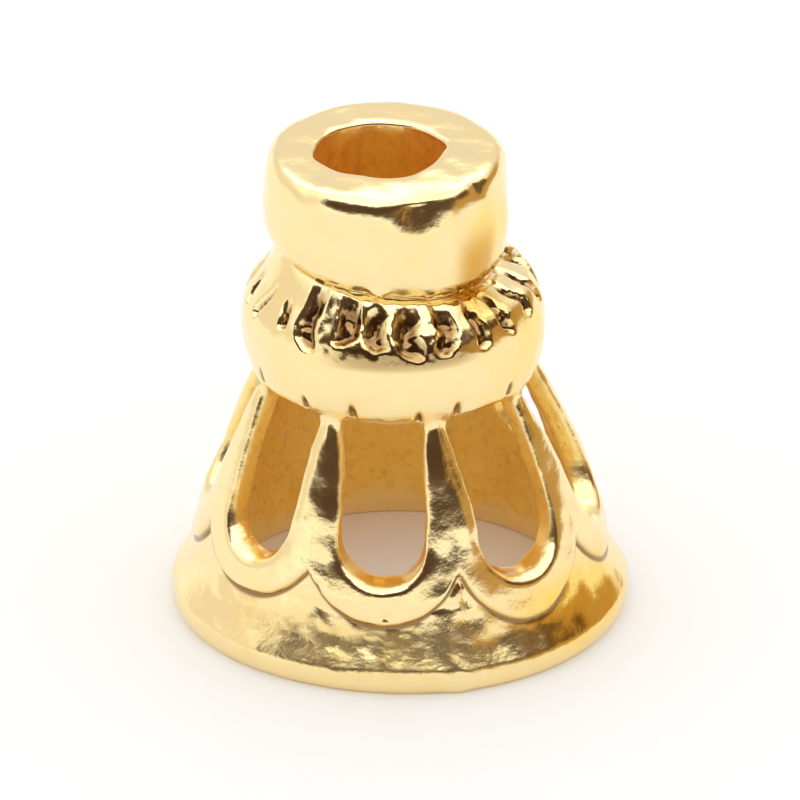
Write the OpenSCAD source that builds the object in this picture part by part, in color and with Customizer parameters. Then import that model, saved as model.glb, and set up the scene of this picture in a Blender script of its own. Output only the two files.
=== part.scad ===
// Bead cap: one metal casting, 9 mm across the lip and 9.7 mm tall.
// All sizes are in mm. The cap stands on its rim at z = 0, centred on the Z axis.
// Angles go round from the front (-Y) towards +X.

/* [Rim and skirt] */
// Diameter over the rounded lip
lip_diameter = 9.0; // [8.8:0.1:9.2]
// Diameter of the open mouth inside the rim
mouth_diameter = 6.8; // [6.6:0.1:6.9]
// Radius of the lip's rounded edge
lip_rounding = 0.26; // [0.22:0.01:0.28]
// Outward slope of the skirt where the cone ends, in mm per mm
skirt_flare = 0.27; // [0.24:0.01:0.3]
// Growth of that slope further down, in mm per square mm
skirt_curve = 0.148; // [0.14:0.002:0.156]

/* [Cone] */
// Height at which the cone starts, above the flared skirt
cone_base_z = 1.65; // [1.6:0.01:1.7]
// Radius of the cone's raised face where it starts
cone_base_radius = 4.02; // [3.98:0.01:4.06]
// Inward slope of the cone where it starts, in mm per mm of height
cone_slope = 0.2; // [0.19:0.005:0.21]
// Growth of that slope further up, in mm per square mm
cone_bend = 0.052; // [0.05:0.001:0.054]
// Height at which the cone ends, inside the collar
cone_top_z = 5.6; // [5.5:0.05:5.7]
// Thickness of the cone's wall, measured level
cone_wall = 0.52; // [0.5:0.01:0.56]

/* [Windows and petals] */
// Number of windows round the cone
window_count = 8; // [8:1:8]
// Angle of the window nearest to the front
window_turn = -5; // [-10:1:0]
// Width of a window at its round lower end
window_width = 1.74; // [1.7:0.01:1.78]
// Width of a window at its top
window_top_width = 1.62; // [1.58:0.01:1.64]
// Usual height of the windows' sills, before each one's own drop
window_sill_z = 2.1; // [2.05:0.01:2.15]
// Height of a window's top edge
window_top_z = 5.2; // [5.1:0.05:5.25]
// Height of the raised border below a window
petal_border = 0.74; // [0.7:0.01:0.78]
// Radius of the scallop that ends a petal
petal_radius = 2.54; // [2.45:0.01:2.6]
// Height of the raised border above the skirt
petal_relief = 0.12; // [0.1:0.01:0.14]

/* [Collar] */
// Diameter over the fluted collar
collar_diameter = 5.94; // [5.88:0.02:6.0]
// Height of the middle of the collar
collar_z = 6.2; // [6.17:0.01:6.23]
// Height of the collar above its widest part
collar_rise = 1.1; // [1.08:0.01:1.12]
// Depth of the collar below its widest part
collar_drop = 1.45; // [1.4:0.01:1.48]
// Bulge of the collar outward from its ring
collar_bulge = 0.99; // [0.96:0.01:1.02]
// Sideways offset of the collar on the cone
collar_offset = -0.14; // [-0.2:0.01:0]
// Number of flutes round the collar
flute_count = 24; // [20:1:24]
// Angle of the first flute
flute_turn = 8; // [0:1:14]
// Radius of the rounded flutes
flute_radius = 0.24; // [0.22:0.01:0.26]
// Depth of the flutes
flute_depth = 0.19; // [0.15:0.01:0.21]
// Lean of the flutes, in degrees above level
flute_lean = 42; // [38:1:46]

/* [Neck and bore] */
// Height over the neck's flat top
total_height = 9.7; // [9.66:0.01:9.74]
// Diameter over the neck ring
neck_diameter = 4.76; // [4.7:0.02:4.8]
// Height of the neck ring
neck_height = 2.14; // [2.1:0.01:2.18]
// Width of the neck's rounded edge
neck_edge = 0.46; // [0.42:0.01:0.5]
// Sideways offset of the neck
neck_offset = -0.29; // [-0.34:0.01:-0.24]
// Diameter of the waist between collar and neck
waist_diameter = 4.1; // [4.0:0.02:4.14]
// Diameter of the bore for the cord
bore_diameter = 2.5; // [2.4:0.05:2.6]
// Sideways offset of the bore
bore_offset = -0.38; // [-0.42:0.01:-0.34]
// Width of the eased edge at the bore's upper end
bore_easing = 0.07; // [0.05:0.01:0.09]

/* [Casting flaws] */
// Size of the blob of metal at the foot of the neck
nub_radius = 0.17; // [0.15:0.01:0.2]
// Size of the swelling on the neck's rear right edge
swelling_radius = 0.7; // [0.68:0.01:0.74]

/* [Hidden] */
$fn = 48;
eps = 0.01;
lip_radius = lip_diameter / 2;
mouth_radius = mouth_diameter / 2;
bore_radius = bore_diameter / 2;
neck_radius = neck_diameter / 2;
neck_z = total_height - neck_height / 2;
collar_ring = collar_diameter / 2 - collar_bulge;
window_pitch = 360 / window_count;
// each window's turn from an even spacing, and how far its sill is below the usual height;
// the one at the rear left is partly filled with metal, so its sill is far above
window_wander = [-0.2, 0.5, -0.4, 0.6, 0, -2, 0.3, -0.3];
window_drop = [0.04, 0.22, 0.15, 0.05, 0.1, -0.95, 0, 0.05];
skirt_radius = cone_base_radius - petal_relief;
lip_turn = 33;
flare_start_z = lip_rounding * (1 + sin(lip_turn)) + 0.05;
hollow_top_z = window_top_z + 0.22;
ceiling_z = hollow_top_z + 0.18;
wall_room = cone_base_radius - cone_wall - mouth_radius;
mouth_rise = (sqrt(pow(cone_slope, 2) + 4 * cone_bend * wall_room) - cone_slope) / (2 * cone_bend);
sill_face = cone_radius(window_sill_z);
window_draft = (window_width - window_top_width) / 2 / (sill_face - cone_radius(window_top_z));

// angle and sill height of a window, and the height of its petal's lowest point
function window_angle(i) = window_turn - 90 + i * window_pitch + window_wander[i];
function sill_z(i) = window_sill_z - window_drop[i];
function petal_z(i) = min(sill_z(i), window_sill_z) - petal_border;

// radius of the raised face at a height
function cone_radius(z) =
    cone_base_radius - cone_slope * (z - cone_base_z) - cone_bend * pow(z - cone_base_z, 2);

// radius of the flared skirt at a height below the cone
function flare_radius(z) =
    skirt_radius + skirt_flare * (cone_base_z - z) + skirt_curve * pow(cone_base_z - z, 2);

// points up the cone's face, set back from it by a level distance
function up_the_cone(from, to, back, steps) =
    [for (i = [0:steps]) let (z = from + (to - from) * i / steps) [cone_radius(z) - back, z]];

// points up the flared skirt
function up_the_skirt(from, to, steps) =
    [for (i = [0:steps]) let (z = from + (to - from) * i / steps) [flare_radius(z), z]];

// points on an arc in the profile plane
function arc(cx, cz, r, from, to, steps) =
    [for (i = [0:steps]) let (a = from + (to - from) * i / steps) [cx + r * cos(a), cz + r * sin(a)]];

// points on the outer half of a rounded ring, from its lower to its upper edge;
// the depth and fullness below its widest part differ from those above
function ring_edge(inner, half_width, z, drop, low_power, rise, power, steps) =
    [for (i = [0:steps]) let (a = -90 + 180 * i / steps, p = 2 / (a < 0 ? low_power : power))
        [inner + half_width * pow(cos(a), p),
         z + (a < 0 ? -drop : rise) * pow(abs(sin(a)), p)]];

// outer body at the level of the skirt: lip, flare and recessed cone
module skirt() {
    color("goldenrod") rotate_extrude()
        polygon(concat(
            [[0, 0], [lip_radius - 0.66 * lip_rounding, 0]],
            arc(lip_radius - lip_rounding, lip_rounding, lip_rounding, -60, lip_turn, 6),
            up_the_skirt(flare_start_z, cone_base_z - 0.15, 6),
            up_the_cone(cone_base_z, cone_top_z, petal_relief, 8),
            [[0, cone_top_z]]));
}

// one window: an upright slot with a round lower end, cut outward from near the axis and spreading a little
module window(bottom_z) {
    near = 1.2;
    far = 5.2;
    near_half = window_width / 2 - (sill_face - near) * window_draft;
    far_half = window_width / 2 + (far - sill_face) * window_draft;
    translate([near, 0, bottom_z + window_width / 2]) {
        rotate([0, 90, 0]) cylinder(r1 = near_half, r2 = far_half, h = far - near);
        linear_extrude(height = window_top_z - bottom_z - window_width / 2)
            polygon([[0, -near_half], [far - near, -far_half], [far - near, far_half], [0, near_half]]);
    }
}

module windows() {
    for (i = [0:window_count - 1])
        rotate([0, 0, window_angle(i)]) window(sill_z(i));
}

// raised petals, each bordering one window and ending in a scallop
module petals() {
    color("gold") intersection() {
        rotate_extrude()
            polygon(concat(
                [[skirt_radius - 0.3, cone_base_z - 0.6]],
                up_the_cone(cone_base_z - 0.6, cone_top_z, 0, 9),
                [[cone_radius(cone_top_z) - petal_relief - 0.2, cone_top_z],
                 [skirt_radius - 0.3, cone_base_z + 0.3]]));
        for (i = [0:window_count - 1])
            rotate([0, 0, window_angle(i)])
                translate([1.2, 0, petal_z(i) + petal_radius])
                    rotate([0, 90, 0]) cylinder(r = petal_radius, h = 4);
    }
}

// rounded collar, before its flutes are cut
module collar() {
    color("goldenrod") translate([collar_offset, 0, 0]) rotate_extrude()
        polygon(concat(
            [[0, collar_z - collar_drop]],
            ring_edge(collar_ring, collar_bulge, collar_z, collar_drop, 2.5, collar_rise, 2, 14),
            [[0, collar_z + collar_rise]]));
}

// flutes over the collar's upper half
module flutes() {
    reach = collar_bulge + flute_radius - flute_depth;
    translate([collar_offset, 0, collar_z]) for (i = [0:flute_count - 1])
        rotate([0, 0, flute_turn - 90 + i * 360 / flute_count])
            translate([collar_ring + reach * cos(flute_lean), 0,
                       reach * sin(flute_lean) * collar_rise / collar_bulge])
                rotate([0, -(90 - flute_lean), 0])
                    cylinder(r = flute_radius, h = 1.3 * collar_bulge, center = true);
}

// barrel-shaped neck ring and the waist under it
module neck() {
    color("gold") translate([neck_offset, 0, 0]) {
        rotate_extrude()
            polygon(concat(
                [[0, neck_z - neck_height / 2]],
                ring_edge(neck_radius - neck_edge, neck_edge, neck_z,
                          neck_height / 2, 2.8, neck_height / 2, 2.8, 14),
                [[0, neck_z + neck_height / 2]]));
        translate([0, 0, collar_z])
            cylinder(d = waist_diameter, h = neck_z - collar_z);
    }
}

// blob at the foot of the neck and swelling on its edge, left from casting
module casting_flaws() {
    color("goldenrod") {
        translate([neck_offset + 0.16, -waist_diameter / 2, collar_z + collar_rise + 0.12])
            sphere(r = nub_radius);
        translate([neck_offset + neck_radius - swelling_radius + 0.05, 0.4, total_height - 0.85])
            sphere(r = swelling_radius);
    }
}

// hollow inside the cone, open at the mouth
module hollow() {
    rotate_extrude()
        polygon(concat(
            [[0, -1], [mouth_radius, -1]],
            up_the_cone(cone_base_z + mouth_rise, hollow_top_z, cone_wall, 7),
            [[bore_radius - 0.1, ceiling_z], [0, ceiling_z]]));
}

// bore for the cord, eased at its upper end
module bore() {
    translate([bore_offset, 0, 0]) {
        translate([0, 0, hollow_top_z]) cylinder(r = bore_radius, h = total_height);
        translate([0, 0, total_height - bore_easing])
            cylinder(r1 = bore_radius, r2 = bore_radius + bore_easing + eps, h = bore_easing + eps);
    }
}

module bead_cap() {
    difference() {
        union() {
            skirt();
            petals();
            collar();
            neck();
            casting_flaws();
        }
        hollow();
        windows();
        flutes();
        bore();
    }
}

bead_cap();
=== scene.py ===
"""Looks of a cast bead cap: a gold-plated cone with petal windows, a fluted collar and a ring neck.

Working sizes are in millimetres and become metres when a mesh is made. Angles are in degrees and
go round from the front (-Y) towards +X, as in the solid model. The cap stands on its rim at z = 0.
"""

import logging
import math
from collections.abc import Callable
from dataclasses import dataclass, field
from enum import Enum

import bpy
import numpy as np
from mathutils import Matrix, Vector


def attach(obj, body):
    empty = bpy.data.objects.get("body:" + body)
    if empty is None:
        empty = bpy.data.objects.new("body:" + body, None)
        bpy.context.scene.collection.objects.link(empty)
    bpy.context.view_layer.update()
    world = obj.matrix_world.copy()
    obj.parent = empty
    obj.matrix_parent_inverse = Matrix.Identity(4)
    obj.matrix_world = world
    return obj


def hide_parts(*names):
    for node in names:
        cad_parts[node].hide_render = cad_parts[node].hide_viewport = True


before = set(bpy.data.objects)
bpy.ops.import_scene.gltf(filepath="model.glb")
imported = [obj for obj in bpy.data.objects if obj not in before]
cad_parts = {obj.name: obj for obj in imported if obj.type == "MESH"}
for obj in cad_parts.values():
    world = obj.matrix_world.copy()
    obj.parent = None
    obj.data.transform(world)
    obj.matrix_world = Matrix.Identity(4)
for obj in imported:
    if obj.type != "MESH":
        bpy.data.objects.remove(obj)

LOG = logging.getLogger("bead_cap")
METRES = 0.001
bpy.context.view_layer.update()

Array = np.ndarray
Colour = tuple[float, float, float]
Socket = bpy.types.NodeSocket


def eased(low: float, high: float, value: Array) -> Array:
    """Smooth step: 0 below low, 1 above high, and 3t^2 - 2t^3 in between.

    Args:
        low: Where the step starts.
        high: Where it ends.
        value: The numbers to map.

    Returns:
        The mapped numbers, from 0 to 1.
    """
    share = np.clip((value - low) / (high - low), 0.0, 1.0)
    return share * share * (3.0 - 2.0 * share)


def bell(value: Array, middle: Array | float, reach: Array | float) -> Array:
    """A gaussian of the value: exp(-((value - middle) / reach)^2)."""
    return np.exp(-(((value - middle) / reach) ** 2))


def blend(first: Array | float, last: Array | float, share: Array | float) -> Array:
    """The first moved towards the last: first + (last - first) * share."""
    return first + (last - first) * share


def placed(name: str, data: bpy.types.ID) -> bpy.types.Object:
    """A new object in the scene that shows the given data."""
    made = bpy.data.objects.new(name, data)
    bpy.context.scene.collection.objects.link(made)
    return made


def wrapped(angle: Array) -> Array:
    """The same angle between -180 and 180 degrees."""
    return (angle + 180.0) % 360.0 - 180.0


def turned(radius: Array, angle: Array, height: Array, offset: Array | float = 0.0) -> Array:
    """Points at a radius, angle and height about a vertical axis that stands offset along X.

    Returns:
        An array of x, y, z with x = offset + r sin(angle) and y = -r cos(angle).
    """
    turn = np.radians(angle)
    parts = np.broadcast_arrays(offset + radius * np.sin(turn), -radius * np.cos(turn), height)
    return np.stack(parts, axis=-1)


def resampled(points: Array, steps: int) -> Array:
    """The polyline's points moved so that they lie evenly along its length.

    Args:
        points: Rows of coordinates along the line.
        steps: How many equal steps the result has.

    Returns:
        steps + 1 rows, the ends included.
    """
    lengths = np.concatenate([[0.0], np.cumsum(np.linalg.norm(np.diff(points, axis=0), axis=1))])
    wanted = np.linspace(0.0, lengths[-1], steps + 1)
    return np.stack([np.interp(wanted, lengths, column) for column in points.T], axis=-1)


@dataclass(frozen=True)
class Unevenness:
    """Smooth random waviness in space: a sum of sine waves of one length in random directions."""

    size: float
    wavelength: float
    seed: int
    waves: int = 28

    def at(self, points: Array) -> Array:
        """Height of the waviness at each point: the size times a sum with a mean square of about 1."""
        random = np.random.default_rng(self.seed)
        ways = random.normal(size=(3, self.waves))
        ways /= np.linalg.norm(ways, axis=0)
        pace = 2.0 * np.pi / (self.wavelength * random.uniform(0.75, 1.4, self.waves))
        phase = random.uniform(0.0, 2.0 * np.pi, self.waves)
        total = np.sin(points @ (ways * pace) + phase).sum(axis=-1) / math.sqrt(self.waves / 2.0)
        return self.size * total


Layers = tuple[Unevenness, ...]


def relief(layers: Layers, points: Array) -> Array:
    """Sum of several layers of waviness at each point."""
    return sum(layer.at(points) for layer in layers)


@dataclass(frozen=True)
class Flaw:
    """A small dent or blob left by the casting. A positive depth sinks and a negative one swells."""

    angle: float
    height: float
    radius: float
    reach: float
    depth: float

    def push(self, points: Array, offset: float) -> Array:
        """How far each point sinks: depth times exp(-(distance / reach)^2) round the flaw's middle."""
        middle = turned(np.array(self.radius), np.array(self.angle), np.array(self.height), offset)
        return self.depth * bell(np.linalg.norm(points - middle, axis=-1), 0.0, self.reach)


@dataclass(frozen=True)
class TintPatch:
    """A soft patch of the outer face that tints its plate. It can make the plate more orange and duller,
    paint shade on it, and paint a reddish reflection on it.
    """

    angle: float
    height: float
    across: float
    tall: float
    orange: float
    dullness: float = 0.0
    # Share of painted shade, which darkens the plate.
    painted_shade: float = 0.0
    # Share of painted reflection, a reddish tint of warm gold mirrored nearby.
    painted_reflection: float = 0.0

    def share(self, points: Array) -> Array:
        """How much of the patch lies on each point: exp(-a^4 - b^4) of the angle and the height from
        its middle, each over its own reach."""
        turn = wrapped(np.degrees(np.arctan2(points[:, 0], -points[:, 1])) - self.angle) / self.across
        rise = (points[:, 2] - self.height) / self.tall
        return np.exp(-(turn**4) - rise**4)


class Mask(Enum):
    """The masks of the finish, of painted shade and of painted reflection, by the names of the mesh
    attributes that hold them.
    """

    CAST = "as_cast"
    # More orange plate: the as-cast faces, some tint patches and a painted warm reflection on the right side.
    ORANGE = "orange"
    # Painted shade in the flutes, creases, notches, the waist and under the petals' step, and a painted dark
    # band on the collar.
    RECESS = "recess"
    # A painted reddish reflection on the neck.
    PAINTED_REFLECTION = "painted_reflection"


@dataclass
class Skin:
    """A closed skin in the making: points with their masks of finish and painted shade, and four-sided faces.
    """

    points: list[Array] = field(default_factory=list)
    cast: list[Array] = field(default_factory=list)
    recess: list[Array] = field(default_factory=list)
    faces: list[Array] = field(default_factory=list)
    count: int = 0

    def add_points(self, points: Array, cast: Array | float, recess: Array | float) -> Array:
        """Adds a grid of points.

        Args:
            points: An array of any shape whose last axis is x, y, z.
            cast: How far each point keeps its dull as-cast finish, from 0 to 1.
            recess: How deep each point lies in a groove or crease, from 0 to 1; painted shade follows it.

        Returns:
            The points' numbers, in the grid's shape.
        """
        shape = points.shape[:-1]
        self.points.append(points.reshape(-1, 3))
        self.cast.append(np.broadcast_to(cast, shape).ravel())
        self.recess.append(np.broadcast_to(recess, shape).ravel())
        numbers = np.arange(self.count, self.count + math.prod(shape)).reshape(shape)
        self.count += math.prod(shape)
        return numbers

    def add_grid(self, numbers: Array) -> None:
        """Covers a grid of point numbers with faces, closing it from its last column to its first."""
        ring = np.concatenate([numbers, numbers[:, :1]], axis=1)
        corners = (ring[:-1, :-1], ring[1:, :-1], ring[1:, 1:], ring[:-1, 1:])
        self.faces.append(np.stack(corners, axis=-1).reshape(-1, 4))


def point_normals(points: Array, faces: Array) -> Array:
    """Unit normals at the points: the sum of the crossed diagonals of the faces round each one."""
    crossed = np.cross(points[faces[:, 2]] - points[faces[:, 0]], points[faces[:, 3]] - points[faces[:, 1]])
    corner = faces.ravel()
    total = np.stack(
        [np.bincount(corner, np.repeat(crossed[:, axis], 4), len(points)) for axis in range(3)], axis=-1
    )
    return total / np.maximum(np.linalg.norm(total, axis=1, keepdims=True), 1e-12)


@dataclass(frozen=True)
class Cone:
    """The pierced cone with its flared skirt, and the hollow inside it."""

    lip_middle: float = 4.24
    lip_reach: float = 0.26
    lip_height: float = 0.3
    lip_swell: float = 0.03
    lip_swell_angle: float = 2.0
    lip_swell_reach: float = 15.0
    lip_start: float = 36.0
    lip_power: float = 2.8
    mouth_radius: float = 3.4
    base_height: float = 1.65
    base_radius: float = 4.02
    slope: float = 0.2
    bend: float = 0.052
    flare: float = 0.27
    flare_bend: float = 0.148
    wall: float = 0.5
    relief: float = 0.12
    top: float = 5.5
    inner_top: float = 5.42
    hollow_bottom: float = 1.2

    def lip_half(self, angle: Array) -> Array:
        """Half of the lip's height: larger near the front, by a gaussian of the angle."""
        swell = bell(wrapped(angle - self.lip_swell_angle), 0.0, self.lip_swell_reach)
        return self.lip_height + self.lip_swell * swell

    def raised(self, height: Array) -> Array:
        """Radius of the petals' face: a parabola that leans in more and more towards the top."""
        up = height - self.base_height
        return self.base_radius - self.slope * up - self.bend * up * up

    def skirt(self, height: Array) -> Array:
        """Radius of the skirt under the petals: a parabola that flares out below the cone's base,
        and above it the cone set back by the relief."""
        down = self.base_height - height
        flared = self.base_radius - self.relief + self.flare * down + self.flare_bend * down * down
        return np.where(height > self.base_height, self.raised(height) - self.relief, flared)

    def lip(self, angle: Array, turn: Array) -> tuple[Array, Array]:
        """Radius and height of the lip's rounded edge, a superellipse, at a turn up its section."""
        power = 2.0 / self.lip_power
        up = np.sign(turn) * np.abs(np.sin(np.radians(turn))) ** power
        radius = self.lip_middle + self.lip_reach * np.abs(np.cos(np.radians(turn))) ** power
        return np.broadcast_arrays(radius, self.lip_half(angle) * (1.0 + up))

    def foot_flare(self, angle: Array, height: Array) -> Array:
        """How far the skirt's foot spreads beyond its parabola, so that it runs into the lip."""
        radius, start = self.lip(angle, np.array(self.lip_start))
        return (radius - self.skirt(start)) * eased(0.6, -0.1, height - start)

    def inside(self, height: Array) -> Array:
        """Radius of the hollow: a short tube at the mouth, then one wall within the outer face."""
        return np.minimum(self.mouth_radius, self.raised(height) - self.wall)


@dataclass(frozen=True)
class Window:
    """One window through the cone: straight sides, a round lower end, and its raised border."""

    angle: float
    sill: float
    width: float
    top: float = 5.1
    taper: float = 0.01
    corner: float = 0.26
    draft: float = 0.123
    edge: float = 0.14
    sill_edge: float = 0.34
    inner_edge: float = 0.06
    wobble: float = 0.01
    ripple: Layers = (Unevenness(1.0, 1.3, 31), Unevenness(0.45, 0.4, 32))
    sill_polish: float = 0.75

    @property
    def middle(self) -> float:
        """Height of the centre of the round lower end."""
        return self.sill + self.width / 2.0

    def half_width(self, height: Array) -> Array:
        """Half of the opening's width at a height above the round end."""
        return self.width / 2.0 - self.taper * np.maximum(height - self.middle, 0.0)

    def outline(self, across: int, along: int) -> Array:
        """The opening's outline as x across and z up, clockwise from its upper left corner.

        Args:
            across: Steps along the top edge, and as many round the lower end.
            along: Steps down each side.

        Returns:
            2 * (across + along) rows of x, z. The right half is drawn as top edge, corner arc,
            side and quarter circle, spread evenly, and the left half mirrors it.
        """
        def arc(x: float, z: float, radius: float, turns: Array) -> Array:
            """Points of an arc round x, z at the given turns in degrees."""
            turns = np.radians(turns)
            return np.stack([x + radius * np.cos(turns), z + radius * np.sin(turns)], axis=-1)

        corner_x = self.half_width(self.top - self.corner) - self.corner
        corner = arc(corner_x, self.top - self.corner, self.corner, np.linspace(90.0, 0.0, 9))
        lower = arc(0.0, self.middle, self.width / 2.0, np.linspace(0.0, -90.0, 40))
        top = resampled(np.concatenate([[[0.0, self.top]], corner[:5]]), across // 2)
        side = resampled(np.concatenate([corner[4:], lower[:14]]), along)
        end = resampled(lower[13:], across // 2)
        top_left, side_left, end_left = (part[::-1] * (-1.0, 1.0) for part in (top, side, end))
        return np.concatenate([part[:-1] for part in (top_left, top, side, end, end_left, side_left)])

    def away(self, angle: Array, height: Array, radius: Array) -> Array:
        """Distance of a point of the cone from the opening, measured along the surface."""
        across = np.radians(wrapped(angle - self.angle)) * radius
        side = np.abs(across) - self.half_width(height)
        end = np.hypot(across, height - self.middle) - self.width / 2.0
        return np.where(height > self.middle, np.maximum(side, height - self.top), end)


@dataclass(frozen=True)
class Collar:
    """The fat fluted ring between cone and neck."""

    ring_radius: float = 1.98
    bulge: float = 0.99
    height: float = 6.2
    half_height: float = 1.1
    lower_half: float = 1.45
    lower_power: float = 2.5
    offset: float = -0.14
    rise: float = 0.22
    flute_angle: float = 8.0
    flute_widths: tuple[float, ...] = (0.31, 0.25, 0.17, 0.15, 0.14, 0.16, 0.2, 0.24, 0.22, 0.25, 0.2, 0.24,
                                       0.22, 0.25, 0.21, 0.24, 0.2, 0.16, 0.12, 0.11, 0.13, 0.25, 0.28, 0.27)
    flute_depth: float = 0.2
    flute_foot: float = 20.0
    foot_spread: float = 6.0
    flute_shift: float = 1.5
    flute_lean: float = 3.2
    fade: tuple[float, float] = (60.0, 80.0)
    short_flutes: tuple[int, ...] = (22, 23)
    short_by: float = 11.0
    worn_flutes: tuple[int, ...] = (17, 18, 19, 20)
    worn_fade: tuple[float, float] = (62.0, 44.0)
    top_angle: float = 84.0
    bottom_angle: float = -37.0

    def lean(self, height: Array) -> Array:
        """How far the cap's axis stands off along X at a height: it leans over on its way up."""
        return self.offset * eased(1.5, 6.8, height)

    def underside(self, height: Array) -> Array:
        """Radius of the ring's lower half at a height: a superellipse, or its middle where it ends."""
        share = np.clip((self.height - height) / self.lower_half, 0.0, 1.0)
        return self.ring_radius + self.bulge * (1.0 - share**self.lower_power) ** (1.0 / self.lower_power)

    def profile(self) -> tuple[Array, Array]:
        """Section of the ring: each point's rise in degrees, and the rows of radii and heights."""
        rise = np.linspace(self.top_angle, self.bottom_angle, 46)
        return rise, np.stack([self.ring_radius + self.bulge * np.cos(np.radians(rise)),
                               self.height + self.half_height * np.sin(np.radians(rise))])

    def flute_depths(self, angle: Array, rise: Array) -> Array:
        """Depth of the flutes on the ring: a round groove about the nearest flute's line, ending in a
        half circle. Each has its own width, and a depth, length, lean and sway drawn from a seed. Worn
        flutes end short of the neck.

        Args:
            angle: Angle round the cap.
            rise: Angle up the ring's section from its widest part.

        Returns:
            The depth below the plain ring.
        """
        random = np.random.default_rng(24)
        flutes = len(self.flute_widths)
        pitch = 360.0 / flutes
        nearest = np.rint((angle - self.flute_angle) / pitch).astype(int) % flutes
        shift = random.uniform(-self.flute_shift, self.flute_shift, flutes)[nearest]
        lean = random.uniform(-self.flute_lean, self.flute_lean, flutes)[nearest]
        depth = self.flute_depth * random.uniform(0.75, 1.2, flutes)[nearest]
        width = np.array(self.flute_widths)[nearest]
        feet = self.flute_foot + random.uniform(-self.foot_spread, self.foot_spread, flutes)
        feet[list(self.short_flutes)] += self.short_by
        sway = random.uniform(0.6, 1.8, flutes)[nearest] * np.sin(0.11 * rise + 2.4 * nearest)
        worn = np.isin(np.arange(flutes), self.worn_flutes)[nearest]
        depth = depth * np.where(worn, eased(*self.worn_fade, rise), 1.0 - 0.75 * eased(*self.fade, rise))
        line = self.flute_angle + pitch * nearest + shift + lean * (rise - 40.0) / 40.0 + sway
        across = wrapped(angle - line)
        sideways = np.radians(across) * (self.ring_radius + self.bulge)
        beyond = np.radians(np.maximum(feet[nearest] + 12.0 - rise, 0.0)) * self.half_height
        away = np.hypot(sideways, beyond) / width
        groove = np.sqrt(np.clip(1.0 - away * away, 0.0, 1.0))
        return depth * (0.6 * groove + 0.4 * (1.0 - eased(0.0, 1.2, away)))


@dataclass(frozen=True)
class Neck:
    """The barrel-shaped ring on top, the waist under it and the bore through both."""

    radius: float = 2.39
    edge: float = 0.42
    top: float = 9.74
    half_height: float = 1.1
    offset: float = -0.29
    bore_offset: float = -0.39
    bore_radius: float = 1.23
    bore_easing: float = 0.08
    ceiling: float = 5.6
    upper_power: float = 3.3
    lower_power: float = 2.6
    tilt: float = 0.29
    droop: float = 0.27
    droop_angle: float = 4.0
    corners: tuple[tuple[float, float, float], ...] = (
        (178.0, 42.0, 0.04), (103.0, 14.0, -0.08), (-77.0, 14.0, -0.07), (60.0, 20.0, 0.03),
    )

    @property
    def centre(self) -> float:
        """Height of the barrel's middle."""
        return self.top - self.half_height

    def bore_shape(self, angle: Array) -> Array:
        """How far the bore's upper edge is squeezed in at the rear, and how far it runs out into a
        corner on each side: a sum of gaussians of the angle, each with a middle, reach and depth."""
        return sum(depth * bell(wrapped(angle - middle), 0.0, reach) for middle, reach, depth in self.corners)

    def profile(self) -> list[Array]:
        """Sections from the bore's lower end up, out and down: the bore, its eased edge, the flat
        top, the barrel's side, a superellipse, and the waist.

        Returns:
            For each section a row of radii over a row of heights.
        """
        down = np.array([2.6, 1.7, 1.35, 1.1, 0.9, 0.72, 0.56, 0.42, 0.28, 0.14, 0.0])
        rows = np.append(self.ceiling, self.top - self.bore_easing - down)
        bore = np.stack([np.full(len(rows), self.bore_radius), rows])
        turn = np.radians(np.linspace(180.0, 90.0, 4))[1:]
        easing = np.stack([self.bore_radius + self.bore_easing * (1.0 + np.cos(turn)),
                           self.top - self.bore_easing * (1.0 - np.sin(turn))])
        flat = np.linspace(easing[0, -1], self.radius - self.edge, 7)[1:-1]
        flat = np.stack([flat, np.full(len(flat), self.top)])
        turn = np.radians(np.linspace(90.0, -72.0, 27))
        power = 2.0 / np.where(turn > 0.0, self.upper_power, self.lower_power)
        side = np.stack([self.radius - self.edge + self.edge * np.abs(np.cos(turn)) ** power,
                         self.centre + self.half_height * np.sign(turn) * np.abs(np.sin(turn)) ** power])
        waist = np.array([[2.05, 2.06], [7.54, 7.51]])
        return [bore, easing, flat, side, waist]


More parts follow.
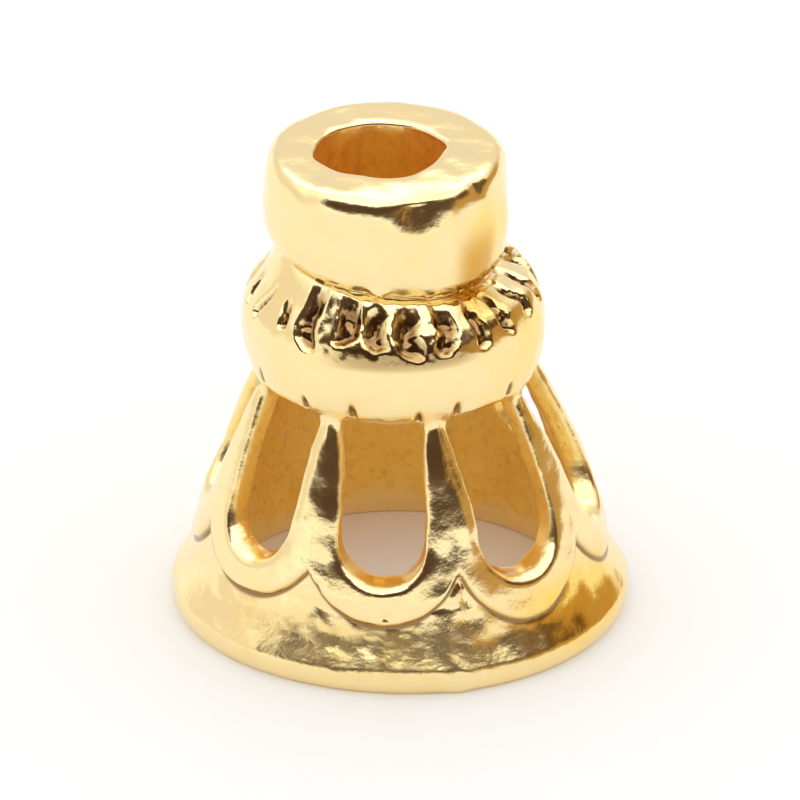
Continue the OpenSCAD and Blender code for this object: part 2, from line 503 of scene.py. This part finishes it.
@dataclass
class BeadCap:
    """The whole casting as one closed skin.

    The skin is a stack of rings round the axis: the bore, the neck, the collar, then the skirt,
    the rim and the inside. Between them lie eight sectors, each a tube of rings from its border on
    the outer face, through its window, to its border on the inner face.
    """

    name: str = "bead_cap_casting"
    node: str = "bead_cap"
    slot: str = "gold"
    cone: Cone = field(default_factory=Cone)
    collar: Collar = field(default_factory=Collar)
    neck: Neck = field(default_factory=Neck)
    across: int = 48
    along: int = 46
    window_turn: float = -5.0
    wander: tuple[float, ...] = (-0.2, 0.5, -0.4, 0.6, 0.6, -2.0, 0.3, -0.3)
    widths: tuple[float, ...] = (1.7, 1.82, 1.76, 1.72, 1.74, 1.72, 1.74, 1.74)
    sills: tuple[float, ...] = (2.06, 1.88, 1.95, 2.05, 1.96, 3.05, 2.12, 2.05)
    petals: tuple[float, ...] = (1.35, 1.13, 1.2, 1.3, 1.25, 1.3, 1.3, 1.45)
    joints: tuple[float, ...] = (2.27, 2.28, 2.15, 2.2, 2.25, 2.15, 2.2, 2.15)
    petal_power: float = 2.3
    petal_roll: float = 0.03
    petal_foot: float = 0.16
    fillet: float = 0.12
    crown: float = 0.07
    crown_reach: float = 0.18
    waviness: Layers = (Unevenness(0.011, 1.6, 5), Unevenness(0.004, 0.55, 6))
    lumps: Layers = (Unevenness(0.003, 0.6, 13),)
    pits: Layers = (Unevenness(0.008, 0.5, 9), Unevenness(0.006, 0.27, 12))
    chafing: Layers = (Unevenness(0.012, 0.36, 10), Unevenness(0.009, 0.22, 14))
    hollow_grain: Layers = (Unevenness(0.008, 1.1, 7),)
    bore_grain: Layers = (Unevenness(0.011, 0.42, 8),)
    # Angle, height, radius, reach and depth of each flaw.
    flaws: tuple[Flaw, ...] = (
        Flaw(17.5, 9.72, 2.6, 0.62, 0.28),
        Flaw(52.0, 9.62, 2.3, 0.22, 0.06),
        Flaw(105.0, 9.5, 2.25, 0.4, -0.06),
        Flaw(-3.0, 7.68, 2.34, 0.15, -0.16),
        Flaw(-4.0, 1.5, 4.05, 0.08, 0.06),
        Flaw(-24.0, 1.98, 3.9, 0.1, 0.07),
        Flaw(17.5, 2.14, 3.82, 0.09, 0.06),
        Flaw(19.0, 1.75, 3.9, 0.14, 0.06),
        Flaw(20.0, 1.3, 4.0, 0.2, 0.06),
        Flaw(28.0, 0.85, 4.2, 0.28, 0.05),
    )
    # Angle, height, half width in degrees and half height of each tint patch, then its colour.
    tint_patches: tuple[TintPatch, ...] = (
        TintPatch(-6.0, 0.9, 44.0, 0.5, orange=0.4, dullness=0.52),
        TintPatch(18.0, 9.4, 15.0, 0.4, orange=0.25, dullness=0.12),
        # These three paint a warm reflection on the right of the skirt, neck and collar.
        TintPatch(58.0, 1.0, 26.0, 0.75, orange=0.95),
        TintPatch(60.0, 8.3, 24.0, 1.0, orange=0.72),
        TintPatch(78.0, 5.9, 34.0, 0.9, orange=0.72),
        # Paints a reddish reflection in a band on the neck.
        TintPatch(45.0, 7.75, 14.0, 0.9, orange=0.5, painted_reflection=0.88),
        # Paints shade in a band across the front of the collar.
        TintPatch(1.0, 6.6, 38.0, 0.31, orange=0.3, painted_shade=0.68),
    )

    def __post_init__(self) -> None:
        """Places the windows and the lines between the sectors."""
        pitch = 360.0 / len(self.wander)
        self.windows = [
            Window(angle=self.window_turn + pitch * number + turn, sill=sill, width=width)
            for number, (turn, sill, width) in enumerate(zip(self.wander, self.sills, self.widths))
        ]
        self.middles = np.array([window.angle for window in self.windows])
        before = np.concatenate([[self.middles[-1] - 360.0], self.middles[:-1]])
        starts = (before + self.middles) / 2.0
        self.borders = np.append(starts, starts[0] + 360.0)
        shares = np.arange(self.across) / self.across
        self.columns = np.concatenate(
            [blend(low, high, shares) for low, high in zip(self.borders[:-1], self.borders[1:])]
        )

    def petal_line(self, angle: Array) -> Array:
        """Height of the scalloped line under the petals: each petal hangs like a round bowl, with
        its lowest point at its window's middle and a cusp where it meets the next petal."""
        angle = (angle - self.borders[0]) % 360.0 + self.borders[0]
        number = np.clip(np.searchsorted(self.borders, angle, side="right") - 1, 0, len(self.middles) - 1)
        middle = self.middles[number]
        before = angle < middle
        side = np.where(before, self.borders[number], self.borders[number + 1])
        joints = np.array(self.joints)
        joint = np.where(before, joints[number], np.roll(joints, -1)[number])
        petal = np.array(self.petals)[number]
        return blend(petal, joint, np.abs((angle - middle) / (side - middle)) ** self.petal_power)

    def foot_line(self, angle: Array) -> Array:
        """Height at which the sectors end, just under the step below the petals' line."""
        return self.petal_line(angle) - self.petal_foot

    def outer_face(self, angle: Array, height: Array) -> tuple[Array, Array]:
        """The cone's outer face and the collar's underside in one: points, and how recessed each is.

        The cone steps down at the petals' rolled line and rounds off towards each window, as a
        gaussian of the distance from the opening. Cone and collar meet in a smooth larger-of-both,
        which is half of their sum and of the root of their squared difference plus a little.
        """
        cone = self.cone
        over = height - self.petal_line(angle)
        share = eased(-0.05, 0.05, over)
        rolled = self.petal_roll * bell(over, 0.1, np.where(over < 0.1, 0.11, 0.4))
        radius = blend(cone.skirt(height), cone.raised(height), share) + rolled
        away = np.min([window.away(angle, height, cone.raised(height)) for window in self.windows], axis=0)
        crown = self.crown * eased(2.0, 3.0, height)
        radius = radius - crown * bell(np.maximum(away, 0.0), 0.0, self.crown_reach)
        notch = self.notches(angle, height)
        ring = self.collar.underside(height) - notch
        radius = (radius + ring + np.sqrt((radius - ring) ** 2 + self.fillet**2)) / 2.0
        radius = radius + cone.foot_flare(angle, height) - self.rim_warp(angle, height)
        # Painted shadow under the petals' step and painted shade in the notches.
        recess = np.clip(0.95 * bell(over, -0.07, 0.09) + notch / 0.06, 0.0, 1.0)
        return turned(radius, angle, height, self.collar.lean(height)), recess

    def inner_face(self, place: Array) -> Array:
        """Points of the hollow's wall at the given angles and heights."""
        angle, height = place[..., 0], place[..., 1]
        return turned(self.cone.inside(height), angle, height, self.collar.lean(height))

    def notches(self, angle: Array, height: Array) -> Array:
        """Depth of the short creases that run up onto the collar from each window's upper corners:
        narrow gaussian grooves."""
        depth = np.zeros(np.broadcast(angle, height).shape)
        for number, window in enumerate(self.windows):
            for side in (-1.0, 1.0):
                middle = window.angle + side * (13.0 + 2.0 * math.sin(3.0 * number + side))
                across = np.radians(wrapped(angle - middle)) * self.collar.ring_radius / 0.055
                along = (height - 5.27 - 0.08 * math.sin(2.0 * number - side)) / 0.22
                depth = depth + 0.1 * np.exp(-across * across - along * along)
        return depth

    def rim_warp(self, angle: Array, height: Array) -> Array:
        """How far the skirt is pressed in towards the front left, as a wide gaussian of the angle
        that ends in a small step and a crease to the right of the middle."""
        angle = wrapped(angle)
        pressed = 0.1 * bell(angle, -18.0, 32.0) * (1.0 - eased(9.0, 14.0, angle))
        line = 15.0 + 3.0 * np.sin(5.0 * height)
        crease = -0.04 * bell(angle, line, 2.0) * eased(2.1, 1.7, height)
        return pressed * eased(2.2, 0.3, height) + crease * eased(1.5, 0.7, height)

    def upper_rings(self) -> tuple[Array, Array, Array]:
        """Rings from the bore's lower end up, over the neck and down to the collar's underside.

        Returns:
            The points as rings by columns, their as-cast share and their recess.
        """
        neck, collar = self.neck, self.collar
        rise, ring = collar.profile()
        parts = [*neck.profile(), ring]
        radius, height = np.concatenate(parts, axis=1)[..., None]
        ends = np.cumsum([part.shape[1] for part in parts])
        bore_end, easing_end, flat_end, side_end, waist_end, total = ends
        number = np.arange(total)[:, None]
        on_ring = number >= waist_end
        angle = self.columns[None, :]
        rises = np.concatenate([np.full(waist_end, 90.0), rise])[:, None]

        across_top = np.clip((number - easing_end + 1) / 6.0, 0.0, 1.0)
        offset = blend(neck.bore_offset, neck.offset, across_top)
        in_waist = (number >= side_end) & ~on_ring
        offset = np.where(in_waist, (2.0 * neck.offset + collar.offset) / 3.0, offset)
        offset = np.where(on_ring, collar.lean(height), offset)

        depth = np.where(on_ring, collar.flute_depths(angle, rises), 0.0)
        section = np.radians(rises)
        lowered = np.where(number >= flat_end, eased(neck.centre + 0.3, neck.centre - 0.85, height), 0.0)
        lowered = np.where(on_ring, eased(40.0, collar.top_angle, rises), lowered)
        tilt = -neck.tilt * np.sin(np.radians(angle)) * lowered
        beyond = np.clip((radius - neck.bore_radius - neck.bore_easing) / neck.radius, 0.0, 1.0)
        facing = 0.5 + 0.5 * np.cos(np.radians(wrapped(angle - neck.droop_angle)))
        droop = neck.droop * beyond**1.6 * facing**2 * eased(neck.centre, neck.top, height)
        fill = np.where(on_ring, collar.rise * eased(52.0, 86.0, rises), -droop)
        squeeze = neck.bore_shape(angle) * eased(8.0, neck.top, height)
        squeeze = np.where(number < easing_end, squeeze, 0.0)
        points = turned(radius - squeeze - depth * np.cos(section), angle,
                        height + tilt + fill - depth * np.sin(section), offset)

        lower_half = (on_ring & (rises < -1.0))[:, 0]
        underside, notched = self.outer_face(*np.broadcast_arrays(angle, height[lower_half]))
        points[lower_half] = underside
        # Painted shade in the flutes and in the waist's crevice.
        recess = np.clip(depth / 0.16 + 0.25 * in_waist, 0.0, 1.0)
        recess[lower_half] = notched
        cast = (number < bore_end) * eased(neck.top - 0.06, neck.top - 0.25, height)
        return points, np.broadcast_to(cast, recess.shape), recess

    def lower_rings(self) -> tuple[Array, Array, Array]:
        """Rings from the skirt down its flare, round the lip, over the foot and up into the hollow.

        Returns:
            The points as rings by columns, their as-cast share and their recess.
        """
        cone = self.cone
        angle = self.columns[None, :]
        flare_end = cone.lip(angle, np.array(cone.lip_start))[1] + 0.04
        share = np.linspace(0.0, 1.0, 20)[:, None]
        foot = self.foot_line(angle)
        flare, recess = self.outer_face(angle, blend(foot, flare_end, share))
        lip_radius, lip_height = cone.lip(angle, np.linspace(cone.lip_start, -90.0, 14)[:, None])
        face_radius = np.linspace(cone.lip_middle, cone.mouth_radius + 0.05, 4)[1:, None]
        wall_height = np.linspace(0.06, cone.hollow_bottom, 6)[:, None]
        even = np.ones_like(angle)
        radius = np.concatenate([lip_radius, face_radius * even, cone.inside(wall_height) * even])
        height = np.concatenate([lip_height, 0.0 * face_radius * even, wall_height * even])
        inner = np.arange(len(radius))[:, None] >= len(radius) - 6
        warp = self.rim_warp(angle, height) * ~inner
        rest = turned(radius - warp, angle, np.maximum(height, 0.0), self.collar.lean(height))
        cast = np.where(inner, eased(0.0, 0.7, height), 0.0)
        cast = np.concatenate([np.zeros_like(recess), np.broadcast_to(cast, rest.shape[:-1])])
        recess = np.concatenate([recess, np.zeros(rest.shape[:-1])])
        return np.concatenate([flare, rest]), cast, recess

    def ceiling_rings(self) -> Array:
        """Rings that close the hollow's top, from its wall to just under the bore's lower end."""
        share = np.linspace(0.0, 1.0, 5)[:-1][:, None]
        top = self.cone.inner_top
        radius = self.cone.inside(np.array(top)) * (1.0 - share) + self.neck.bore_radius * share
        height = blend(top, self.neck.ceiling, share**0.8)
        lean = blend(self.collar.lean(np.array(top)), self.neck.bore_offset, share)
        return turned(radius, self.columns[None, :], height, lean)

    def sector_loop(self, top: Array, bottom: Array, sides: Array, number: int) -> Array:
        """Point numbers round one sector, clockwise from its upper left corner.

        Args:
            top: Numbers of the ring that the sectors hang from.
            bottom: Numbers of the ring that they stand on.
            sides: Numbers down each line between two sectors, the rings left out.
            number: Which sector.

        Returns:
            The loop, in step with Window.outline.
        """
        after = (number + 1) % len(self.windows)
        span = np.arange(number * self.across, (number + 1) * self.across + 1) % len(top)
        return np.concatenate([top[span], sides[after], bottom[span][::-1], sides[number][::-1]])

    def border_loop(self, number: int, top: float, bottom: Array) -> Array:
        """Angle and height of the points round a sector, in step with Window.outline.

        Args:
            number: Which sector.
            top: Height of its upper edge.
            bottom: Heights along its lower edge, from left to right, both corners included.

        Returns:
            Rows of angle and height.
        """
        low, high = self.borders[number], self.borders[number + 1]
        over = np.arange(self.across) / self.across
        down = np.arange(self.along) / self.along
        angle = np.concatenate([blend(low, high, over), np.full(self.along, high),
                                blend(high, low, over), np.full(self.along, low)])
        height = np.concatenate([np.full(self.across, top), blend(top, bottom[-1], down),
                                 bottom[:0:-1], blend(bottom[0], top, down)])
        return np.stack([angle, height], axis=-1)

    def window_rings(self, window: Window, number: int) -> tuple[Array, Array, Array]:
        """Rings of one sector from next to its outer border to next to its inner border.

        Rings slide over the cone's face to the window, a quadratic curve rounds the edge, straight
        lines cross the wall, a smaller curve rounds the inner edge, and rings slide out over the
        hollow's wall.

        Returns:
            The points as rings by loop steps, their as-cast share and their recess.
        """
        cone = self.cone
        line = window.outline(self.across, self.along)
        tangent = np.roll(line, -1, axis=0) - np.roll(line, 1, axis=0)
        outward = np.stack([-tangent[:, 1], tangent[:, 0]], axis=-1)
        outward /= np.linalg.norm(outward, axis=1, keepdims=True)
        space = np.concatenate([line, np.full((len(line), 1), 7.0 * number)], axis=1)
        line = line + outward * (window.wobble * relief(window.ripple, space))[:, None]
        inner_radius = cone.inside(line[:, 1])
        narrowing = 1.0 - window.draft * (cone.raised(line[:, 1]) - inner_radius) / (window.width / 2.0)
        below = np.minimum(line[:, 1] - window.middle, 0.0)
        inner_line = np.stack([line[:, 0] * narrowing, line[:, 1] + below * (narrowing - 1.0)], axis=-1)

        def laid(flat: Array, wall: Callable[[Array], Array]) -> Array:
            """Angle and height of points of a flat outline laid on a wall, given as radius by height."""
            turn = np.arcsin(np.clip(flat[:, 0] / wall(flat[:, 1]), -1.0, 1.0))
            return np.stack([window.angle + np.degrees(turn), flat[:, 1]], axis=-1)

        edge = laid(line, cone.raised)
        start = laid(line + outward * window.edge, cone.raised)
        inner_edge = laid(inner_line, cone.inside)
        inner_start = laid(inner_line + outward * window.inner_edge, cone.inside)
        foot = self.foot_line(np.linspace(self.borders[number], self.borders[number + 1], self.across + 1))
        border = self.border_loop(number, cone.top, foot)
        slide = blend(border, start, np.linspace(0.0, 1.0, 16)[1:, None, None])
        outer, step = self.outer_face(slide[..., 0], slide[..., 1])
        outer_corner, _ = self.outer_face(edge[:, 0], edge[:, 1])
        inner_corner = self.inner_face(inner_edge)
        through = inner_corner - outer_corner
        through /= np.linalg.norm(through, axis=1, keepdims=True)

        def curve(first: Array, corner: Array, last: Array, steps: int) -> Array:
            """Points of the quadratic curve from first to last that is drawn towards a corner."""
            share = np.linspace(0.0, 1.0, steps + 1)[1:, None, None]
            return first * (1.0 - share) ** 2 + corner * 2.0 * share * (1.0 - share) + last * share**2

        low = eased(window.middle, window.sill, line[:, 1])
        into_wall = outer_corner + through * blend(window.edge, window.sill_edge, low)[:, None]
        at_inside = inner_corner - through * window.inner_edge
        first = self.inner_face(inner_start)
        rounded = curve(outer[-1], outer_corner, into_wall, 5)
        jamb = blend(into_wall, at_inside, np.linspace(0.0, 1.0, 4)[1:, None, None])
        inner_round = curve(at_inside, inner_corner, first, 2)
        border = self.border_loop(number, cone.inner_top, np.full(self.across + 1, cone.hollow_bottom))
        slide = blend(inner_start, border, np.linspace(0.0, 1.0, 6)[1:-1, None, None])
        inner = self.inner_face(slide)

        points = np.concatenate([outer, rounded, jamb, inner_round, inner])
        plain = 1.0 - window.sill_polish * low
        edging = np.linspace(0.0, 0.7, len(rounded))[:, None] * plain
        dull = np.ones((len(points) - len(outer) - len(rounded), len(line)))
        dull[:len(jamb)] *= plain
        cast = np.concatenate([np.zeros_like(step), edging, dull])
        recess = np.concatenate([step, np.zeros_like(edging), np.zeros_like(dull)])
        return points, cast, recess

    def build(self) -> tuple[Array, Array, dict[Mask, Array]]:
        """Builds the skin.

        Returns:
            The points in millimetres, the faces, and the masks of the finish, the painted shade and the
            painted reflection, from 0 to 1.
        """
        skin = Skin()
        upper = skin.add_points(*self.upper_rings())
        lower = skin.add_points(*self.lower_rings())
        ceiling = skin.add_points(self.ceiling_rings(), 1.0, 0.0)
        skin.add_grid(upper)
        skin.add_grid(lower)
        skin.add_grid(np.concatenate([ceiling, upper[:1]]))

        cone = self.cone
        down = np.arange(1, self.along) / self.along
        lines = np.repeat(self.borders[:-1, None], len(down), axis=1)
        points, step = self.outer_face(lines, blend(cone.top, self.foot_line(lines), down))
        outer_sides = skin.add_points(points, 0.0, step)
        height = np.broadcast_to(blend(cone.inner_top, cone.hollow_bottom, down), lines.shape)
        inner_sides = skin.add_points(self.inner_face(np.stack([lines, height], axis=-1)), 1.0, 0.0)
        for number, window in enumerate(self.windows):
            rings = skin.add_points(*self.window_rings(window, number))
            outer = self.sector_loop(upper[-1], lower[0], outer_sides, number)
            inner = self.sector_loop(ceiling[0], lower[-1], inner_sides, number)
            skin.add_grid(np.concatenate([outer[None], rings, inner[None]]))

        points, faces = np.concatenate(skin.points), np.concatenate(skin.faces)
        cast, recess = np.concatenate(skin.cast), np.concatenate(skin.recess)
        points = self.weathered(points, faces, cast, recess)
        # Each patch's dullness, orange, painted shade and painted reflection, in the masks' order.
        looks = np.array([[tint.dullness, tint.orange, tint.painted_shade, tint.painted_reflection] for tint in self.tint_patches])
        shares = np.array([tint.share(points) for tint in self.tint_patches])
        tinted = np.max(looks[:, :, None] * shares[:, None, :], axis=0)
        laid = np.stack([cast, cast, recess, np.zeros_like(cast)])
        return points, faces, dict(zip(Mask, np.maximum(tinted, laid)))

    def weathered(self, points: Array, faces: Array, cast: Array, recess: Array) -> Array:
        """Moves the points along their normals by the casting's dents, blobs and waviness.

        The foot stays true: the waviness fades out next to the surface that the cap stands on.
        """
        normals = point_normals(points, faces)
        sunk = sum(flaw.push(points, self.neck.offset if flaw.height > 7.5 else 0.0) for flaw in self.flaws)
        height = points[:, 2]
        angle = np.degrees(np.arctan2(points[:, 0], -points[:, 1]))
        pitted = 0.12 + 0.88 * bell(angle, -8.0, 42.0)
        pitted = pitted * eased(0.12, -0.12, height - self.petal_line(angle))
        pitted = pitted * (0.3 + 0.7 * eased(0.6, 1.0, height))
        lumps = relief(self.lumps, points) * eased(2.6, 1.4, height) + pitted * relief(self.pits, points)
        front = 0.7 * bell(angle, 0.0, 42.0) * eased(6.45, 6.75, height) * eased(7.55, 7.35, height)
        chafed = relief(self.chafing, points) * np.maximum(recess * eased(6.1, 6.5, height), front)
        in_bore = eased(5.9, 6.3, height)
        rough = relief(self.hollow_grain, points) * (1.0 - in_bore)
        rough = rough + relief(self.bore_grain, points) * in_bore
        free = eased(0.0, 0.35, height)
        moved = relief(self.waviness, points) + (lumps + chafed) * (1.0 - cast) + rough * cast
        moved = moved * free - sunk
        return points + normals * moved[:, None]

    def dress(self, finish: "PlatedGold") -> None:
        """Makes the mesh object, with its masks as attributes and its finish, and puts it on the frame."""
        points, faces, masks = self.build()
        mesh = bpy.data.meshes.new(self.name)
        mesh.from_pydata((points * METRES).tolist(), [], faces.tolist())
        for mask, values in masks.items():
            shares = mesh.attributes.new(mask.value, "FLOAT", "POINT")
            shares.data.foreach_set("value", values.astype(np.float32))
        mesh.polygons.foreach_set("use_smooth", np.ones(len(mesh.polygons), dtype=bool))
        mesh.update()
        piece = placed(self.name, mesh)
        mesh.materials.append(finish.material())
        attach(piece, "root")
        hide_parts(self.node)
        LOG.info("%s: %d points, %d triangles", self.name, len(points), 2 * len(faces))


def shaded(name: str) -> tuple[bpy.types.Material, bpy.types.Node]:
    """A new material and its Principled shader."""
    material = bpy.data.materials.new(name)
    material.use_nodes = True
    return material, material.node_tree.nodes["Principled BSDF"]


class NodeBench:
    """Adds and links shader nodes in one tree."""

    def __init__(self, tree: bpy.types.NodeTree) -> None:
        """Keeps the tree that the nodes go in."""
        self.tree = tree

    def add(self, kind: str, inputs: dict | None = None, **settings: object) -> bpy.types.Node:
        """Adds one node.

        Args:
            kind: The node's type name, after ShaderNode.
            inputs: Values or other nodes' sockets, by the input's name or number.
            **settings: The node's own properties.

        Returns:
            The node.
        """
        node = self.tree.nodes.new("ShaderNode" + kind)
        for key, value in settings.items():
            setattr(node, key, value)
        for key, value in (inputs or {}).items():
            if isinstance(value, Socket):
                self.tree.links.new(value, node.inputs[key])
            else:
                node.inputs[key].default_value = value
        return node

    def math(self, operation: str, first: object, second: object = 0.0) -> Socket:
        """The result of a Math node on two values or sockets."""
        return self.add("Math", {0: first, 1: second}, operation=operation).outputs[0]

    def step(self, value: object, low: float, high: float) -> Socket:
        """A smooth step: 0 where the value is low and 1 where it is high."""
        ends = {0: value, 1: low, 2: high}
        return self.add("MapRange", ends, interpolation_type="SMOOTHSTEP").outputs[0]

    def mix(self, share: object, first: object, second: object) -> Socket:
        """A colour mixed from two by a share."""
        first, second = (end if isinstance(end, Socket) else (*end, 1.0) for end in (first, second))
        return self.add("Mix", {0: share, 6: first, 7: second}, data_type="RGBA").outputs[2]


@dataclass(frozen=True)
class PlatedGold:
    """Bright gold plate over a cast base: polished outside, dull and grainy inside, with painted shade in
    grooves and creases and a painted reddish reflection.
    """

    name: str = "plated_gold"
    plate: Colour = (0.97, 0.80, 0.45)
    deep: Colour = (1.0, 0.7, 0.17)
    # Colour of the painted shade, also of the speckles on the as-cast faces.
    shade: Colour = (0.32, 0.19, 0.08)
    # Colour of the painted reflection on the neck.
    painted_reflection: Colour = (0.65, 0.33, 0.03)
    polished: float = 0.15
    dull: float = 0.42

    def material(self) -> bpy.types.Material:
        """Makes the material from the four masks and noise in Object coordinates."""
        material, shader = shaded(self.name)
        bench = NodeBench(material.node_tree)
        place = bench.add("TexCoord").outputs["Object"]
        spot = bench.add("Mapping", {"Vector": place, "Scale": (1000.0,) * 3}).outputs[0]
        cast, orange, recess, painted_reflection = (
            bench.add("Attribute", attribute_name=mask.value).outputs["Fac"] for mask in Mask
        )

        def noise(scale: float, detail: float, roughness: float = 0.5) -> Socket:
            """Noise over the cap, of scale waves to the millimetre."""
            inputs = {"Vector": spot, "Scale": scale, "Detail": detail, "Roughness": roughness}
            return bench.add("TexNoise", inputs).outputs["Fac"]

        blotch, grain, speckle = noise(1.6, 4.0), noise(9.0, 5.0, 0.6), noise(5.5, 3.0)
        # The orange share holds the as-cast faces and the painted warm reflection on the right side.
        deep = bench.math("MULTIPLY", bench.math("ADD", orange, blotch), 0.7)
        deep = bench.math("MINIMUM", bench.math("MULTIPLY", deep, deep), 1.0)
        colour = bench.mix(deep, self.plate, self.deep)
        # Painted reflection: a reddish tint on the neck.
        colour = bench.mix(painted_reflection, colour, self.painted_reflection)
        # Painted shade: darker in grooves, creases, notches and the collar's band.
        colour = bench.mix(bench.step(recess, 0.25, 0.9), colour, self.shade)
        dark = bench.add("MapRange", {0: speckle, 1: 0.5, 2: 0.75, 4: 0.25}).outputs[0]
        colour = bench.mix(bench.math("MULTIPLY", dark, cast), colour, self.shade)
        rough = bench.math("MULTIPLY", cast, self.dull - self.polished)
        rough = bench.math("ADD", rough, self.polished - 0.05)
        rough = bench.math("ADD", rough, bench.math("MULTIPLY", blotch, 0.12))
        coarse = bench.math("MULTIPLY", grain, bench.math("ADD", bench.math("MULTIPLY", cast, 0.02), 0.004))
        height = bench.math("ADD", coarse, bench.math("MULTIPLY", blotch, 0.02))
        bump = bench.add("Bump", {"Height": height, "Strength": 1.0, "Distance": METRES})
        for name, socket in (("Base Color", colour), ("Roughness", rough), ("Normal", bump.outputs[0])):
            bench.tree.links.new(socket, shader.inputs[name])
        shader.inputs["Metallic"].default_value = 1.0
        return material


@dataclass(frozen=True)
class StudioPatch:
    """A soft oval of the studio round the cap, in degrees, which lights it and is mirrored in it."""

    azimuth: float
    elevation: float
    half_width: float
    half_height: float
    softness: float
    colour: Colour

    def share(self, bench: NodeBench, way: Socket) -> Socket:
        """How much of the patch lies in a direction: a smooth step of its distance from the middle,
        where 1 is the edge of an oval drawn over azimuth and elevation.

        Args:
            bench: Where the nodes go.
            way: The direction from the cap.

        Returns:
            The socket that holds the share.
        """
        turn = -math.radians(self.azimuth)
        turned_way = bench.add("VectorRotate", {"Vector": way, "Angle": turn},
                               rotation_type="Z_AXIS").outputs[0]
        parts = bench.add("SeparateXYZ", {0: turned_way}).outputs
        azimuth = bench.math("ARCTAN2", parts[0], bench.math("MULTIPLY", parts[1], -1.0))
        elevation = bench.math("SUBTRACT", bench.math("ARCSINE", parts[2]), math.radians(self.elevation))
        across = bench.math("DIVIDE", azimuth, math.radians(self.half_width))
        up = bench.math("DIVIDE", elevation, math.radians(self.half_height))
        fourths = [bench.math("POWER", bench.math("ABSOLUTE", reach), 4.0) for reach in (across, up)]
        away = bench.math("SQRT", bench.math("ADD", *fourths))
        return bench.step(away, 1.0 + self.softness, 1.0 - self.softness)


@dataclass(frozen=True)
class Studio:
    """Pale floor, soft light from all sides and the camera."""

    surround: Colour = (0.78, 0.775, 0.76)
    backdrop: Colour = (1.0, 0.995, 0.98)
    fill: Colour = (0.88, 0.87, 0.865)
    brightness: float = 1.6
    # Azimuth, elevation, half width, half height, softness and colour of each patch.
    patches: tuple[StudioPatch, ...] = (
        StudioPatch(0.0, 90.0, 360.0, 35.0, 0.3, (1.02, 1.02, 1.01)),
        StudioPatch(180.0, 28.0, 60.0, 22.0, 0.5, (0.55, 0.53, 0.52)),
        StudioPatch(0.0, 57.0, 70.0, 8.0, 0.6, (1.4, 1.4, 1.37)),
        StudioPatch(180.0, 49.0, 50.0, 12.0, 0.35, (1.45, 1.45, 1.42)),
        StudioPatch(-2.0, 29.0, 66.0, 21.0, 0.14, (0.04, 0.016, 0.004)),
        StudioPatch(-102.0, 6.0, 30.0, 22.0, 0.6, (0.57, 0.53, 0.48)),
        StudioPatch(96.0, 6.0, 50.0, 20.0, 0.4, (0.33, 0.2, 0.06)),
        StudioPatch(86.0, 30.0, 24.0, 12.0, 0.3, (0.07, 0.032, 0.01)),
    )
    overhead: StudioPatch = StudioPatch(0.0, 90.0, 360.0, 40.0, 0.3, (0.4, 0.4, 0.4))
    floor_colour: Colour = (0.98, 0.975, 0.97)
    floor_size: float = 1.2
    camera_distance: float = 0.28
    camera_elevation: float = 27.0
    camera_lens: float = 641.1
    aim: tuple[float, float, float] = (0.0, 0.0, 0.00425)

    def light(self) -> None:
        """Builds the world: a pale surround with the patches blended in. The camera itself sees the plain
        backdrop, and the floor takes a fill that comes from the sides more than from above."""
        world = bpy.data.worlds.new("studio")
        world.use_nodes = True
        bench = NodeBench(world.node_tree)
        way = bench.add("TexCoord").outputs["Generated"]
        colour: object = self.surround
        for patch in self.patches:
            colour = bench.mix(patch.share(bench, way), colour, patch.colour)
        path = bench.add("LightPath").outputs
        fill = bench.mix(self.overhead.share(bench, way), self.fill, self.overhead.colour)
        colour = bench.mix(path["Is Glossy Ray"], fill, colour)
        colour = bench.mix(path["Is Camera Ray"], colour, self.backdrop)
        background = world.node_tree.nodes["Background"]
        world.node_tree.links.new(colour, background.inputs["Color"])
        background.inputs["Strength"].default_value = self.brightness
        bpy.context.scene.world = world

    def bounces(self) -> None:
        """Lets light bounce often enough to fill the gold hollow."""
        cycles = bpy.context.scene.cycles
        cycles.max_bounces, cycles.glossy_bounces, cycles.diffuse_bounces = 24, 20, 8

    def floor(self) -> None:
        """Lays a plain pale floor under the cap."""
        half = self.floor_size / 2.0
        mesh = bpy.data.meshes.new("floor")
        corners = [(-half, -half, 0.0), (half, -half, 0.0), (half, half, 0.0), (-half, half, 0.0)]
        mesh.from_pydata(corners, [], [(0, 1, 2, 3)])
        floor = placed("floor", mesh)
        material, shader = shaded("pale_floor")
        shader.inputs["Base Color"].default_value = (*self.floor_colour, 1.0)
        shader.inputs["Roughness"].default_value = 0.6
        shader.inputs["Specular IOR Level"].default_value = 0.2
        mesh.materials.append(material)

    def camera(self) -> None:
        """Sets the camera at the photograph's height and side, framed on the cap."""
        data = bpy.data.cameras.new("camera")
        data.lens = self.camera_lens
        data.clip_start, data.clip_end = 0.01, 10.0
        camera = placed("camera", data)
        rise = math.radians(self.camera_elevation)
        back = Vector((0.0, -math.cos(rise), math.sin(rise)))
        camera.location = Vector(self.aim) + back * self.camera_distance
        camera.rotation_euler = (-back).to_track_quat("-Z", "Y").to_euler()
        bpy.context.scene.camera = camera


def main() -> None:
    """Builds the cap and its studio, and reports each piece."""
    logging.basicConfig(level=logging.INFO, format="%(name)s: %(message)s")
    studio = Studio()
    studio.camera()
    studio.light()
    studio.bounces()
    studio.floor()
    LOG.info("studio: %d patches of light and shade", len(studio.patches))
    BeadCap().dress(PlatedGold())
    bpy.context.scene.view_settings.view_transform = "Standard"


if __name__ == "__main__":
    main()
